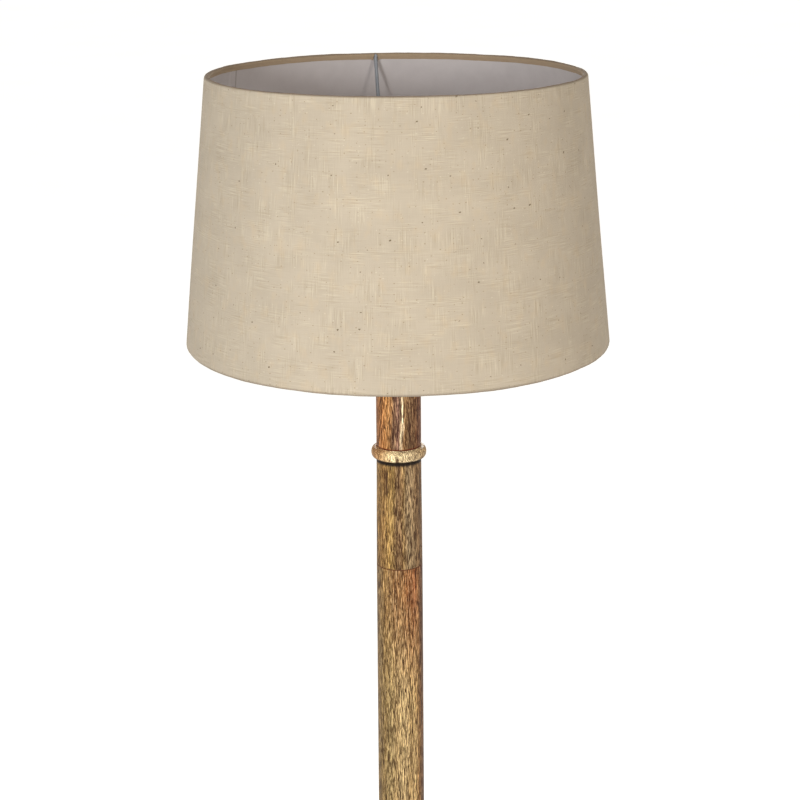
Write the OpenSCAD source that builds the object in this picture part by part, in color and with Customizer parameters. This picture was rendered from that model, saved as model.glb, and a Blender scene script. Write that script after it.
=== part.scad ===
// Tripod floor lamp: a turned mango-wood column on three splayed legs, with a tapered linen drum shade.
// Millimetres, +Z up. The origin is on the floor below the column's axis, and -Y is the front.

/* [Overall] */
// Height from the floor to the top edge of the shade
lamp_h = 1520; // [1490:10:1600]

/* [Shade] */
// Outer diameter at the bottom edge
shade_bottom_d = 450; // [440:5:480]
// Outer diameter at the top edge
shade_top_d = 393; // [385:1:420]
// Height of the shade
shade_h = 283; // [275:1:295]
// Depth of the fitter ring below the top edge
fitter_drop = 128; // [124:1:134]
// Thickness of the linen
linen_t = 0.9; // [0.7:0.1:1]
// Thickness of the stiff white liner
liner_t = 0.8; // [0.5:0.1:1]
// Diameter of the rim wires and the arms
wire_d = 4; // [3:0.5:4]
// Turn of the first arm from the back of the lamp, seen from above
arm_turn = 6.8; // [0:0.2:20]

/* [Column] */
// Diameter at the top
column_top_d = 48.6; // [46:0.1:50]
// Diameter at the joint between the two long sections
column_joint_d = 50.6; // [50:0.2:52]
// Diameter where the column stands on the hub
column_base_d = 53; // [52:0.5:54]
// Distance from the shade's bottom edge down to the middle of the ring
ring_drop = 125; // [110:1:150]
// Diameter of the ring
ring_d = 59.8; // [56:0.2:62]
// Height of the ring
ring_h = 13.5; // [13:0.5:16]
// Distance from the shade's bottom edge down to the joint
joint_drop = 254; // [230:1:300]

/* [Tripod] */
// Diameter of the circle through the middles of the feet
foot_circle_d = 410; // [390:5:420]
// Height of the seats of the legs on the hub
seat_z = 405; // [390:5:420]
// Diameter of a leg below its collar
leg_top_d = 34; // [30:1:36]
// Diameter of a leg above its ankle bead
leg_ankle_d = 25; // [22:1:27]
// Thickness of the rubber pads
pad_h = 5; // [4:0.5:6]

/* [Socket] */
// Lift of the bulb for each turn of its screw cap
cap_pitch = 3.629; // [3.6:0.001:3.65]
// Travel of the push-through switch bar
bar_travel = 7; // [5:0.5:8]

/* [Hidden] */
$fn = 96;

// Colours
wood = [0.62, 0.44, 0.25];
pale_wood = [0.74, 0.56, 0.35];
linen = [0.83, 0.77, 0.64];
white = [0.93, 0.92, 0.90];
wire_grey = [0.72, 0.74, 0.75];
brass = [0.71, 0.55, 0.30];
steel = [0.62, 0.63, 0.64];
black = [0.09, 0.09, 0.09];
opal = [0.97, 0.96, 0.92];

// Clearances
slip = 0.05;           // between wooden pieces that push together
thread_gap = 0.02;     // between a thread and its nut, both drawn plain

// Shade
shade_top_r = shade_top_d / 2;
shade_bottom_r = shade_bottom_d / 2;
shade_bottom_z = lamp_h - shade_h;
shade_taper = (shade_bottom_r - shade_top_r) / shade_h;
wire_r = wire_d / 2;
fold_r = wire_r + slip + linen_t;      // the linen wrapped round a rim wire
top_wire_z = lamp_h - fold_r;
bottom_wire_z = shade_bottom_z + fold_r;
glue_gap = 0.1;        // between the linen and the liner
fitter_z = lamp_h - fitter_drop;
fitter_t = 1.5;
fitter_r = 30;
arm_knee = [133, lamp_h - 110];        // where an arm turns from steep to nearly level: radius, height
arm_end = [27.5, fitter_z + fitter_t + wire_r - 0.3];
arm_notch = 0.3;       // round each arm where it leaves the linen

// Lamp holder, measured from the fitter ring
skirt_r = 19.8;
skirt_bottom_z = fitter_z - 20;
skirt_top_z = fitter_z + 14;
clamp_r = 24.3;
clamp_h = 5;
clamp_gap = 0.1;       // between the clamp rings' threads and the skirt, and each side of the fitter ring
body_r = 20;
body_bottom_z = fitter_z - 38;
bar_z = fitter_z - 29;
bar_r = 2.5;
bar_gap = 0.08;        // running clearance round the switch bar
base_bottom_z = fitter_z - 64;
boss_r = 8.5;
set_screw_z = base_bottom_z + 4;
socket_r = 13.9;
shell_t = 0.4;
terminal_x = 9;

// Bulb, measured from the fitter ring
contact_z = fitter_z - 14;
insulator_z = contact_z + 1.6;
cap_z = insulator_z + 3.4;
cap_r = 13.1;
housing_z = cap_z + 22;
housing_top_r = 28;
diffuser_z = housing_z + 32;
diffuser_r = 30;
bulb_top_z = diffuser_z + 42;
bulb_wall = 1.6;
cap_wall = 0.4;
board_h = 40;
led_plate_t = 1.5;
led_plate_z = diffuser_z - 0.5 - led_plate_t;

// Column
cap_t = 4;
column_top_z = base_bottom_z - cap_t;
ring_z = shade_bottom_z - ring_drop;
ring_bottom_z = ring_z - ring_h / 2;
ring_top_z = ring_z + ring_h / 2;
joint_z = shade_bottom_z - joint_drop;
bore_r = 5.3;
tube_r = 5;
tube_bore_r = 3.6;
coupler_r = 8;
coupler_h = 32;
dowel_r = 14;          // the tenon that carries the ring
dowel_h = 16;          // how far it goes into the neck
nut_af = 14;           // across the flats
nut_h = 7;
washer_r = 11.5;
washer_t = 1.5;
recess_r = 12.5;
recess_h = 12;

// Hub and legs
hub_top_z = seat_z + 69;
seat_r = 40;           // from the lamp's axis to the middle of a seat
splay = atan((foot_circle_d / 2 - seat_r) / seat_z);
seat_relief = 3;       // depth of a leg's flat seat in the conical underside
tenon_r = 11;
tenon_h = 18;
collar_r = 21;
collar_h = 14;
leg_len = seat_z / cos(splay);
leg_angles = [-90, 30, 150];
bolt_r = 4;
insert_r = 6;
insert_h = 13.5;
bolt_bottom = -26;     // along the leg, from its seat
hub_mortise_r = 17;
hub_mortise_h = 26;
cavity_r = 17;
cavity_top_z = hub_top_z - 38;
spigot_h = 14;
cord_z = cavity_top_z - 16;
cord_r = 3.6;
bushing_r = 5.5;
bushing_len = 16;
bushing_flange_r = 9;
bushing_face_y = 62;   // where the flange stands on the hub's bead
screw_r = 1.7;
screw_head_r = 3.8;
pad_r = 10.5;

// Radius of the shade's outer face at a height.
function shade_r(z) = shade_bottom_r - (z - shade_bottom_z) * shade_taper;

// Radius of the column at a height.
function column_r(z) = (z > joint_z
    ? column_joint_d + (column_top_d - column_joint_d) * min(1, (z - joint_z) / (ring_z - joint_z))
    : column_base_d + (column_joint_d - column_base_d) * (z - hub_top_z) / (joint_z - hub_top_z)) / 2;

// Height of the hub's conical underside at a radius.
function underside_z(r) = seat_z - seat_relief / cos(splay) + (r - seat_r) * tan(splay);

// Points along an arc, from angle a to angle b.
function arc(centre, r, a, b, n = 8) =
    [for (i = [0:n]) centre + r * [cos(a + (b - a) * i / n), sin(a + (b - a) * i / n)]];

module rod(r, bottom, top) {
    translate([0, 0, bottom])
        cylinder(r = r, h = top - bottom);
}

module pipe(r, bore, bottom, top) {
    difference() {
        rod(r, bottom, top);
        rod(bore, bottom - 1, top + 1);
    }
}

module turned(profile) {
    rotate_extrude()
        polygon(profile);
}

module torus(radius, z, r) {
    translate([0, 0, z])
        rotate_extrude()
            translate([radius, 0])
                circle(r = r);
}

module hex_nut(bottom) {
    color(steel)
        difference() {
            translate([0, 0, bottom])
                cylinder(d = nut_af / cos(30), h = nut_h, $fn = 6);
            rod(tube_r + thread_gap, bottom - 1, bottom + nut_h + 1);
        }
}

module washer(bottom) {
    color(steel)
        pipe(washer_r, tube_r + 0.2, bottom, bottom + washer_t);
}

// Puts its children on leg number i, with the origin on the seat and +Z up the leg.
module on_leg(i) {
    rotate([0, 0, leg_angles[i - 1]])
        translate([seat_r, 0, seat_z])
            rotate([0, -splay, 0])
                children();
}

// Puts its children on the floor under leg number i.
module at_foot(i) {
    rotate([0, 0, leg_angles[i - 1]])
        translate([foot_circle_d / 2 - pad_h * tan(splay), 0, 0])
            children();
}

// ---- Feet ----

module foot_pad(i) {
    color(black)
        at_foot(i)
            difference() {
                turned([
                    [0, 0], [pad_r - 1, 0], [pad_r, 1], [pad_r, pad_h], [0, pad_h]
                ]);
                rod(screw_r + 0.2, -1, pad_h + 1);
                rod(screw_head_r + 0.4, -1, 3);
            }
}

module foot_screws() {
    color(steel)
        for (i = [1:3])
            at_foot(i) {
                rod(screw_r, 2.9, 20);
                rod(screw_head_r, 1.4, 3);
            }
}

// ---- Legs ----

leg_profile = let (
    top_r = leg_top_d / 2,
    ankle_r = leg_ankle_d / 2,
    ankle = 56 - leg_len
) concat(
    [[0, tenon_h], [tenon_r - 1, tenon_h], [tenon_r, tenon_h - 1], [tenon_r, -collar_h]],
    arc([top_r - 2, -collar_h - 2], 2, 90, 0, 4),
    [[top_r + 0.6, -leg_len * 0.35], [ankle_r, ankle + 6]],
    arc([ankle_r - 0.5, ankle], 4.5, 80, -80),
    [[ankle_r - 0.5, ankle - 6], [ankle_r + 1.5, ankle - 26], [ankle_r - 0.2, -leg_len]],
    [[ankle_r - 0.2, -leg_len - 20], [0, -leg_len - 20]]
);

module leg(i) {
    color(wood)
        difference() {
            on_leg(i)
                difference() {
                    turned(leg_profile);
                    rod(bolt_r + thread_gap, bolt_bottom - 1, tenon_h + 1);
                }
            translate([0, 0, pad_h - 50])
                cylinder(r = foot_circle_d, h = 50);
            at_foot(i)
                rod(screw_r + thread_gap, 0, 21);
        }
}

module leg_collar(i) {
    color(pale_wood)
        on_leg(i)
            turned(concat(
                [[tenon_r + slip, -slip], [collar_r - 5, -slip]],
                arc([collar_r - 6, -collar_h / 2], 6, 80, -80),
                [[collar_r - 5, slip - collar_h], [tenon_r + slip, slip - collar_h]]
            ));
}

module hanger_bolts() {
    color(steel)
        for (i = [1:3])
            on_leg(i)
                rod(bolt_r, bolt_bottom, tenon_h + insert_h - 1);
}

module leg_inserts() {
    color(brass)
        for (i = [1:3])
            on_leg(i)
                pipe(insert_r, bolt_r + thread_gap, tenon_h + 0.5, tenon_h + insert_h);
}

// ---- Hub ----

bead_r = 9;
bead_start_r = 58;
bead_centre = [
    bead_start_r - bead_r * sin(splay),
    underside_z(bead_start_r) + bead_r * cos(splay)
];
cove_r = 18;
cove_centre = [52, bead_centre.y + bead_r + 1.5 + cove_r];
neck_bead = [31, cove_centre.y + 6];
hub_neck_r = 28;

hub_profile = concat(
    [[0, underside_z(cavity_r)], [cavity_r, underside_z(cavity_r)]],
    arc(bead_centre, bead_r, splay - 90, 90, 12),
    [[cove_centre.x, cove_centre.y - cove_r - 1.5]],
    arc(cove_centre, cove_r, -90, -180),
    arc(neck_bead, 4.5, -60, 80),
    [[hub_neck_r, neck_bead.y + 6]],
    arc([hub_neck_r - 1, hub_top_z - 1], 1, 0, 90, 4),
    [[0, hub_top_z]]
);

module hub() {
    color(wood)
        difference() {
            turned(hub_profile);
            rod(cavity_r, seat_z - 50, cavity_top_z);
            rod(bore_r, seat_z, hub_top_z + 1);
            rod(hub_mortise_r, hub_top_z - hub_mortise_h, hub_top_z + 1);
            for (i = [1:3])
                on_leg(i) {
                    rod(collar_r + 0.4, -30, 0);
                    rod(tenon_r + slip, -1, tenon_h + 0.4);
                    rod(insert_r + slip, tenon_h, tenon_h + insert_h + 1);
                }
            translate([0, 0, cord_z])
                rotate([-90, 0, 0]) {
                    rod(cord_r + 0.6, 0, 80);
                    rod(bushing_r + slip, bushing_face_y - bushing_len, 80);
                    rod(bushing_flange_r + 0.5, bushing_face_y, 80);
                }
        }
}

module hub_finial() {
    shoulder_z = underside_z(cavity_r) - slip;
    color(wood)
        turned(concat(
            [
                [0, shoulder_z + spigot_h], [cavity_r - slip - 1, shoulder_z + spigot_h],
                [cavity_r - slip, shoulder_z + spigot_h - 1],
                [cavity_r - slip, shoulder_z], [18.5, shoulder_z]
            ],
            arc([16.5, shoulder_z - 2.5], 2.5, 45, -80, 6),
            arc([17, shoulder_z - 13], 8, 95, 190, 8),
            arc([0, shoulder_z - 25], 13, 35, -65, 12),
            [[3.6, shoulder_z - 39]],
            arc([0, shoulder_z - 41], 4, 30, -90, 6)
        ));
}

module cord_bushing() {
    color(black)
        translate([0, 0, cord_z])
            rotate([-90, 0, 0])
                difference() {
                    union() {
                        rod(bushing_r, bushing_face_y - bushing_len + 0.5, bushing_face_y + 1);
                        rod(bushing_flange_r, bushing_face_y, bushing_face_y + 2.5);
                        rod(7, bushing_face_y, bushing_face_y + 6);
                    }
                    rod(cord_r, bushing_face_y - bushing_len - 1, bushing_face_y + 9);
                }
}

// ---- Column ----

module column_lower() {
    color(wood)
        difference() {
            union() {
                turned([
                    [0, hub_top_z], [column_r(hub_top_z), hub_top_z],
                    [column_r(joint_z), joint_z], [0, joint_z]
                ]);
                rod(hub_mortise_r - slip, hub_top_z - hub_mortise_h + 0.5, hub_top_z + 1);
            }
            rod(bore_r, hub_top_z - hub_mortise_h, joint_z + 1);
            rod(coupler_r + slip, joint_z - coupler_h / 2 - 0.5, joint_z + 1);
        }
}

module column_upper() {
    color(wood)
        difference() {
            union() {
                turned([
                    [0, joint_z], [column_joint_d / 2, joint_z],
                    [column_r(ring_bottom_z), ring_bottom_z], [0, ring_bottom_z]
                ]);
                rod(dowel_r, ring_bottom_z - 1, ring_top_z + dowel_h - 0.5);
            }
            rod(bore_r, joint_z - 1, ring_top_z + dowel_h);
            rod(coupler_r + slip, joint_z - 1, joint_z + coupler_h / 2 + 0.5);
        }
}

module column_ring() {
    edge_r = 6;
    color(pale_wood)
        turned(concat(
            [[dowel_r + slip, ring_bottom_z], [ring_d / 2 - edge_r, ring_bottom_z]],
            arc([ring_d / 2 - edge_r, ring_bottom_z + edge_r], edge_r, -90, 0),
            arc([ring_d / 2 - edge_r, ring_top_z - edge_r], edge_r, 0, 90),
            [[dowel_r + slip, ring_top_z]]
        ));
}

module column_neck() {
    color(wood)
        difference() {
            turned([
                [0, ring_top_z], [column_r(ring_top_z), ring_top_z],
                [column_top_d / 2, column_top_z - 2], [column_top_d / 2 - 2, column_top_z],
                [0, column_top_z]
            ]);
            rod(dowel_r + slip, ring_top_z - 1, ring_top_z + dowel_h);
            rod(bore_r, ring_top_z, column_top_z + 1);
            rod(recess_r, column_top_z - recess_h, column_top_z + 1);
        }
}

module neck_cap() {
    cap_edge_r = column_top_d / 2 - 1;
    color(brass)
        turned([
            [tube_r + 0.2, column_top_z], [cap_edge_r, column_top_z],
            [cap_edge_r, column_top_z + 2], [cap_edge_r - 2, column_top_z + 3.2],
            [boss_r + 3, column_top_z + cap_t], [tube_r + 0.2, column_top_z + cap_t]
        ]);
}

module draw_tube(bottom, top) {
    color(steel)
        pipe(tube_r, tube_bore_r, bottom, top);
}

module tube_coupler() {
    color(brass)
        pipe(coupler_r, tube_r + thread_gap, joint_z - coupler_h / 2, joint_z + coupler_h / 2);
}

// ---- Lamp holder ----

module holder_base() {
    wall = 1.2;
    flare_z = base_bottom_z + 7;
    cup_z = base_bottom_z + 14;
    color(brass)
        difference() {
            turned([
                [tube_r + thread_gap, base_bottom_z], [boss_r, base_bottom_z],
                [boss_r, flare_z], [body_r, cup_z], [body_r, body_bottom_z],
                [body_r - wall, body_bottom_z], [body_r - wall, cup_z + 0.8],
                [boss_r - 1, flare_z + 1], [tube_r + thread_gap, flare_z + 1]
            ]);
            translate([0, 0, set_screw_z])
                rotate([-90, 0, 0])
                    rod(1.5 + thread_gap, 3, 12);
        }
}

module holder_set_screw() {
    color(steel)
        translate([0, 0, set_screw_z])
            rotate([-90, 0, 0])
                rod(1.5, tube_r + 0.1, boss_r + 2);
}

module holder_body() {
    color(black)
        difference() {
            rod(body_r, body_bottom_z, skirt_bottom_z);
            translate([0, 0, bar_z])
                rotate([0, 90, 0])
                    rod(bar_r + bar_gap, -body_r - 1, body_r + 1);
            for (side = [-1, 1])
                translate([side * terminal_x, 0, 0])
                    rod(1.5 + thread_gap, body_bottom_z - 1, body_bottom_z + 5);
        }
}

module terminal_screws() {
    color(brass)
        for (side = [-1, 1])
            translate([side * terminal_x, 0, 0]) {
                rod(1.5, body_bottom_z - 0.1, body_bottom_z + 4.5);
                rod(2.8, body_bottom_z - 2.2, body_bottom_z);
            }
}

module switch_bar() {
    color(black)
        translate([0, 0, bar_z])
            rotate([0, 90, 0]) {
                rod(bar_r, -body_r - 4, body_r + 4 + bar_travel);
                for (x = [-body_r - 4, body_r + 4 + bar_travel])
                    translate([0, 0, x])
                        sphere(r = bar_r);
            }
}

module holder_skirt() {
    groove = 0.6;
    pitch = 2.5;
    color(brass)
        difference() {
            pipe(skirt_r, 17.4, skirt_bottom_z, skirt_top_z);
            for (z = [skirt_top_z - pitch:-pitch:fitter_z + fitter_t + clamp_h + pitch])
                pipe(skirt_r + 1, skirt_r - groove, z - pitch / 4, z + pitch / 4);
        }
}

module socket_core() {
    color(white)
        difference() {
            rod(17.3, skirt_bottom_z, fitter_z + 10);
            rod(socket_r, skirt_bottom_z + 3, skirt_top_z);
        }
}

module socket_shell() {
    color(brass)
        pipe(socket_r - 0.05, socket_r - 0.05 - shell_t, fitter_z - 13, fitter_z + 8);
}

module contact_leaf() {
    color(brass)
        translate([0, 0, (skirt_bottom_z + 3 + contact_z) / 2])
            cube([11, 5, contact_z - skirt_bottom_z - 3.1], center = true);
}

// A threaded ring with finger notches round its edge.
module clamp_ring(bottom) {
    notches = 24;
    color(brass)
        difference() {
            turned([
                [skirt_r + clamp_gap, bottom], [clamp_r - 0.6, bottom], [clamp_r, bottom + 0.6],
                [clamp_r, bottom + clamp_h - 0.6], [clamp_r - 0.6, bottom + clamp_h],
                [skirt_r + clamp_gap, bottom + clamp_h]
            ]);
            for (i = [1:notches])
                rotate([0, 0, i * 360 / notches])
                    translate([clamp_r + 0.9, 0, 0])
                        rod(1.6, bottom - 1, bottom + clamp_h + 1);
        }
}

// ---- Bulb ----

module bulb_contact() {
    color(brass)
        turned([[0, contact_z], [3.6, contact_z], [4.8, insulator_z], [0, insulator_z]]);
}

module bulb_insulator() {
    top = cap_z - slip;
    color(black)
        turned([[0, insulator_z], [5.2, insulator_z], [11.5, top], [0, top]]);
}

module bulb_cap() {
    neck_r = 11.6;
    color(steel)
        turned([
            [neck_r, cap_z], [cap_r, cap_z + 2], [cap_r, housing_z],
            [cap_r - cap_wall, housing_z], [cap_r - cap_wall, cap_z + 2],
            [neck_r - cap_wall, cap_z]
        ]);
}

module bulb_housing() {
    outside = [
        [cap_r, housing_z], [cap_r + 1, housing_z + 4], [cap_r + 4, housing_z + 14],
        [housing_top_r - 3, diffuser_z - 6], [housing_top_r, diffuser_z]
    ];
    color(white)
        turned(concat(
            outside,
            [for (i = [len(outside) - 1:-1:0]) outside[i] - [bulb_wall, 0]]
        ));
}

module driver_board() {
    color("seagreen")
        translate([0, 0, led_plate_z - board_h / 2])
            cube([20, bulb_wall, board_h], center = true);
}

module led_plate() {
    color(steel)
        rod(housing_top_r - 2.7, led_plate_z, led_plate_z + led_plate_t);
}

module led_chips() {
    color(opal)
        for (i = [1:8])
            rotate([0, 0, i * 45])
                translate([15, 0, led_plate_z + led_plate_t + 0.4])
                    cube([2.8, 3.5, 0.8], center = true);
}

// A dome that is closed at the level where it meets the housing.
module dome(r) {
    dome_z = bulb_top_z - diffuser_r;
    turned(concat([[0, diffuser_z]], arc([0, dome_z], r, -asin((dome_z - diffuser_z) / r), 90, 20)));
}

module bulb_diffuser() {
    color(opal)
        difference() {
            dome(diffuser_r);
            dome(diffuser_r - bulb_wall);
        }
}

// ---- Shade ----

module fitter_ring() {
    color(wire_grey)
        pipe(fitter_r, skirt_r + 0.5, fitter_z, fitter_z + fitter_t);
}

// Puts its children in the plane of arm number i, with +X pointing out to the rim.
module at_arm(i) {
    rotate([0, 0, 90 + arm_turn + (i - 1) * 120])
        children();
}

// A straight rod between two points of an arm's plane, each given as radius and height.
module strut(a, b, r) {
    along = b - a;
    translate([a.x, 0, a.y])
        rotate([0, atan2(along.x, along.y), 0])
            cylinder(r = r, h = norm(along));
}

module shade_arm(i) {
    rim = [shade_r(top_wire_z) - fold_r, top_wire_z];
    color(wire_grey)
        at_arm(i) {
            strut(rim, arm_knee, wire_r);
            translate([arm_knee.x, 0, arm_knee.y])
                sphere(r = wire_r + 0.2);
            strut(arm_knee, arm_end, wire_r);
        }
}

module rim_wire(z) {
    color(wire_grey)
        torus(shade_r(z) - fold_r, z, wire_r);
}

module shade_liner() {
    inset = linen_t + glue_gap;
    bottom = bottom_wire_z + fold_r + 0.2;
    top = top_wire_z - fold_r - 0.2;
    color(white)
        turned([
            [shade_r(bottom) - inset, bottom], [shade_r(top) - inset, top],
            [shade_r(top) - inset - liner_t, top], [shade_r(bottom) - inset - liner_t, bottom]
        ]);
}

// One piece of linen: the wall, and the two hems that wrap the rim wires.
module linen_cover() {
    color(linen)
        difference() {
            union() {
                turned([
                    [shade_r(bottom_wire_z), bottom_wire_z], [shade_r(top_wire_z), top_wire_z],
                    [shade_r(top_wire_z) - linen_t, top_wire_z],
                    [shade_r(bottom_wire_z) - linen_t, bottom_wire_z]
                ]);
                for (z = [bottom_wire_z, top_wire_z])
                    torus(shade_r(z) - fold_r, z, fold_r);
            }
            for (z = [bottom_wire_z, top_wire_z])
                torus(shade_r(z) - fold_r, z, wire_r + slip);
            for (i = [1:3])
                at_arm(i)
                    strut([shade_r(top_wire_z) - fold_r, top_wire_z], arm_knee, wire_r + arm_notch);
        }
}

foot_pad(1);  // foot_pad_1
foot_pad(2);  // foot_pad_2
foot_pad(3);  // foot_pad_3
foot_screws();
leg(1);  // leg_1
leg(2);  // leg_2
leg(3);  // leg_3
leg_collar(1);  // leg_collar_1
leg_collar(2);  // leg_collar_2
leg_collar(3);  // leg_collar_3
hanger_bolts();
leg_inserts();
hub();
hub_finial();
cord_bushing();
column_lower();
column_upper();
column_ring();
column_neck();
neck_cap();
draw_tube(cavity_top_z - washer_t - nut_h - 2, joint_z - thread_gap);  // draw_tube_lower
draw_tube(joint_z + thread_gap, base_bottom_z + 14);  // draw_tube_upper
tube_coupler();
washer(cavity_top_z - washer_t);  // bottom_washer
hex_nut(cavity_top_z - washer_t - nut_h);  // bottom_nut
washer(column_top_z - recess_h);  // top_washer
hex_nut(column_top_z - recess_h + washer_t);  // top_nut
holder_base();
holder_set_screw();
holder_body();
terminal_screws();
switch_bar();
holder_skirt();
socket_core();
socket_shell();
contact_leaf();
clamp_ring(fitter_z - clamp_gap - clamp_h);  // clamp_ring_lower
clamp_ring(fitter_z + fitter_t + clamp_gap);  // clamp_ring_upper
bulb_contact();
bulb_insulator();
bulb_cap();
bulb_housing();
driver_board();
led_plate();
led_chips();
bulb_diffuser();
fitter_ring();
shade_arm(1);  // shade_arm_1
shade_arm(2);  // shade_arm_2
shade_arm(3);  // shade_arm_3
rim_wire(top_wire_z);  // top_wire
rim_wire(bottom_wire_z);  // bottom_wire
shade_liner();
linen_cover();
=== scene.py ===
"""The looks of a tripod floor lamp with a linen drum shade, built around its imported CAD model.

Lengths are in metres. Places and sizes come from the CAD nodes' boxes or from named values, which repeat
those of the CAD model where a box doesn't give them. Profiles are lists of (radius, height).
"""

import math

import bmesh
import bpy
import numpy as np
from mathutils import Matrix, Vector


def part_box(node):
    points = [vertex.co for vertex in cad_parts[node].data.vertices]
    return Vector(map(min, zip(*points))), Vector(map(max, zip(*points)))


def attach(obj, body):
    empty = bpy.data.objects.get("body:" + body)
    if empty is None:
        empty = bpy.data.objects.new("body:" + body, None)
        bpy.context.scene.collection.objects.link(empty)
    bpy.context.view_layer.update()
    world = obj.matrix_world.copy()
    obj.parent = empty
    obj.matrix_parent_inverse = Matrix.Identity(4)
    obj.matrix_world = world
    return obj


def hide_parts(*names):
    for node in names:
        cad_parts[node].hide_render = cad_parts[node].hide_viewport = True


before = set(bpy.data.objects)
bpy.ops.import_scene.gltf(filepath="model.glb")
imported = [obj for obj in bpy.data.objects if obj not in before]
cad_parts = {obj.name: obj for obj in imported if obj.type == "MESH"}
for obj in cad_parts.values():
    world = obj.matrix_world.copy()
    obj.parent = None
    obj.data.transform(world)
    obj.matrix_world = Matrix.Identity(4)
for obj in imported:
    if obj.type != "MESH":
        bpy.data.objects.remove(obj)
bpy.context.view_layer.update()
MM = 0.001
X, Z = 0, 2


# ---- Places, from the CAD nodes' boxes ----


def low(node, axis=Z):
    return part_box(node)[0][axis]


def high(node, axis=Z):
    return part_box(node)[1][axis]


def middle(node, axis=Z):
    return (low(node, axis) + high(node, axis)) / 2


SHADE_TOP = high("linen_cover")
SHADE_BOTTOM = low("linen_cover")
WIRE_R = (high("top_wire") - low("top_wire")) / 2
TOP_WIRE = np.array([high("top_wire", X) - WIRE_R, middle("top_wire")])
BOTTOM_WIRE = np.array([high("bottom_wire", X) - WIRE_R, middle("bottom_wire")])
# The linen's outer face rolls round each rim wire at this radius.
FOLD_R = SHADE_TOP - TOP_WIRE[1]
LINEN_T = 0.6 * MM
LINER_T = 0.8 * MM
# From the linen's outer face to the liner's.
LINER_INSET = 1.0 * MM
# How far a hem's loose edge reaches past its wire.
HEM_TAIL = 3.9 * MM
SEAM_ANGLE = math.radians(151.5)
ARM_TURN = math.radians(96.8)
ARM_ANGLES = [ARM_TURN + i * math.tau / 3 for i in range(3)]
ARM_KNEE = np.array([133 * MM, SHADE_TOP - 110 * MM])
WELD_DEPTH = 0.3 * MM
ARM_END = np.array([27.5 * MM, high("fitter_ring") + WIRE_R - WELD_DEPTH])

COLUMN_R = high("column_neck", X)
RING_R = high("column_ring", X)
RING_BOTTOM, RING_TOP = low("column_ring"), high("column_ring")
JOINT_Z = high("column_lower")
HUB_TOP = high("hub")
# The way up the column for the draw tube.
BORE_R = 5.3 * MM
# The coupler of the two draw tubes sits in a pocket on both sides of the joint.
COUPLER_R = 8.05 * MM
COUPLER_DEPTH = 16.5 * MM
# The hub takes the column's tenon and the finial's spigot in bores of one size.
HUB_TENON_R = 16.95 * MM
# The upper column's dowel goes through the ring into the neck, with this clearance.
DOWEL_R = 14 * MM
DOWEL_GAP = 0.05 * MM

LEG_ANGLES = [math.radians(a) for a in (-90, 30, 150)]
SEAT_R, SEAT_Z = 40 * MM, 405 * MM
FOOT_R = 205 * MM
PAD_H = high("foot_pad_1")
SPLAY = math.atan2(FOOT_R - SEAT_R, SEAT_Z)
LEG_LEN = SEAT_Z / math.cos(SPLAY)


# ---- Meshes ----


def new_piece(name, verts, faces, body, material, replaces):
    mesh = bpy.data.meshes.new(name)
    mesh.from_pydata([tuple(v) for v in verts], [], [tuple(f) for f in faces])
    mesh.update()
    mesh.materials.append(material)
    smooth_by_angle(mesh)
    piece = bpy.data.objects.new(name, mesh)
    bpy.context.scene.collection.objects.link(piece)
    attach(piece, body)
    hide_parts(*replaces)
    return piece


def smooth_by_angle(mesh, limit=math.radians(38)):
    """Makes faces smooth, with sharp edges where two faces meet at more than the limit."""
    form = bmesh.new()
    form.from_mesh(mesh)
    bmesh.ops.recalc_face_normals(form, faces=form.faces)
    for face in form.faces:
        face.smooth = True
    for edge in form.edges:
        edge.smooth = not (edge.is_manifold and edge.calc_face_angle(0) > limit)
    form.to_mesh(mesh)
    form.free()


def grid_faces(rows, columns, close_rows):
    """Quads over a grid of vertices numbered row by row. Every row is a closed ring."""
    r = np.arange(rows if close_rows else rows - 1)
    a, b = np.meshgrid(r, np.arange(columns), indexing="ij")
    a2, b2 = (a + 1) % rows, (b + 1) % columns
    quads = np.stack([a * columns + b, a2 * columns + b, a2 * columns + b2, a * columns + b2], axis=-1)
    return quads.reshape(-1, 4).tolist()


def end_faces(rows, columns):
    """The faces that close a grid at its first and last row."""
    return [list(range(columns)), list(range((rows - 1) * columns, rows * columns))]


def arc(centre, radius, start, end, count):
    """Points of an arc in a profile. Angles are in degrees from the outward direction."""
    angles = np.radians(np.linspace(start, end, count))
    return [np.array([centre[0] + radius * math.cos(a), centre[1] + radius * math.sin(a)]) for a in angles]


def between(a, b, count):
    """Points strictly between two points of a profile."""
    a, b = np.asarray(a, float), np.asarray(b, float)
    return [a + (b - a) * i / (count + 1) for i in range(1, count + 1)]


def revolve(profile, segments, change):
    """Vertices and faces of a closed profile turned round Z.

    Points on the axis coincide, and turned() merges them. change(angle, radius, height) gives the new radius
    and height of every vertex.
    """
    points = np.array([np.asarray(p, float) for p in profile])
    angles = np.arange(segments) * math.tau / segments
    angle, radius = np.meshgrid(angles, points[:, 0], indexing="ij")
    height = np.broadcast_to(points[:, 1], radius.shape)
    if change is not None:
        radius, height = change(angle, radius, height)
    verts = np.stack([radius * np.cos(angle), radius * np.sin(angle), height], axis=-1)
    return verts.reshape(-1, 3), grid_faces(segments, len(points), True)


def merge_doubles(mesh, distance=0.001 * MM):
    form = bmesh.new()
    form.from_mesh(mesh)
    bmesh.ops.remove_doubles(form, verts=form.verts, dist=distance)
    bmesh.ops.delete(form, geom=[edge for edge in form.edges if not edge.link_faces], context="EDGES")
    form.to_mesh(mesh)
    form.free()


def turned(name, profile, body, material, replaces, place=None, segments=256, change=None):
    """A lathe piece: a closed profile turned round Z, then moved by place."""
    verts, faces = revolve(profile, segments, change)
    piece = new_piece(name, verts, faces, body, material, replaces)
    merge_doubles(piece.data)
    if place is not None:
        piece.data.transform(place)
    smooth_by_angle(piece.data)
    return piece


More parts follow.
